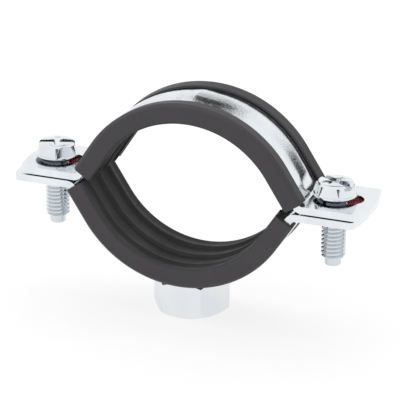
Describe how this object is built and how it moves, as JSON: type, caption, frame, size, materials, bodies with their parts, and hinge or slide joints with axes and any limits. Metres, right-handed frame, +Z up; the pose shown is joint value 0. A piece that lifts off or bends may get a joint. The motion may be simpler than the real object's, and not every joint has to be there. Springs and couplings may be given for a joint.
{
  "type": "rubber lined pipe clamp",
  "caption": "Split steel pipe clamp with ribbed rubber lining, flanges drawn together by machine screws, and a welded hexagonal connection nut below.",
  "frame": {"origin": "on the clamp's split plane, at the middle of the lower half's arc, where the pipe's axis passes", "axes": "+X across the flanges towards the right screw, +Y along the pipe, +Z up from the connection nut towards the screw heads"},
  "size_m": [0.0908, 0.0202, 0.0562],
  "materials": {
    "zinc_strip": "bright zinc plated pressed strip",
    "rubber": "matte black extruded rubber",
    "zinc_nut": "bright zinc plated turned hexagon",
    "zinc_screw": "bright zinc plated cold formed screw",
    "red_plastic": "moulded red plastic"
  },
  "bodies": {
    "lower_half": {"lower_band": "zinc_strip", "lower_liner": "rubber", "connection_nut": "zinc_nut"},
    "upper_half": {"upper_band": "zinc_strip", "upper_liner": "rubber"},
    "left_screw_set": {"left_screw": "zinc_screw", "left_captive_washer": "red_plastic"},
    "right_screw_set": {"right_screw": "zinc_screw", "right_captive_washer": "red_plastic"}
  },
  "joints": [
    {"name": "upper_half_lift", "type": "slide", "parent": "lower_half", "child": "upper_half", "axis": [0, 0, 1], "range_m": [0, 0.013]},
    {"name": "left_screw_turn", "type": "hinge", "parent": "upper_half", "child": "left_screw_set", "pos_m": [-0.03625, 0, 0], "axis": [0, 0, 1], "range_deg": [0, 4680]},
    {"name": "right_screw_turn", "type": "hinge", "parent": "upper_half", "child": "right_screw_set", "pos_m": [0.03625, 0, 0], "axis": [0, 0, 1], "range_deg": [0, 4680]}
  ],
  "couplings": [
    {"joint": "left_screw_turn", "follows": "upper_half_lift", "rad_per_m": 6283.2},
    {"joint": "right_screw_turn", "follows": "upper_half_lift", "rad_per_m": 6283.2}
  ]
}
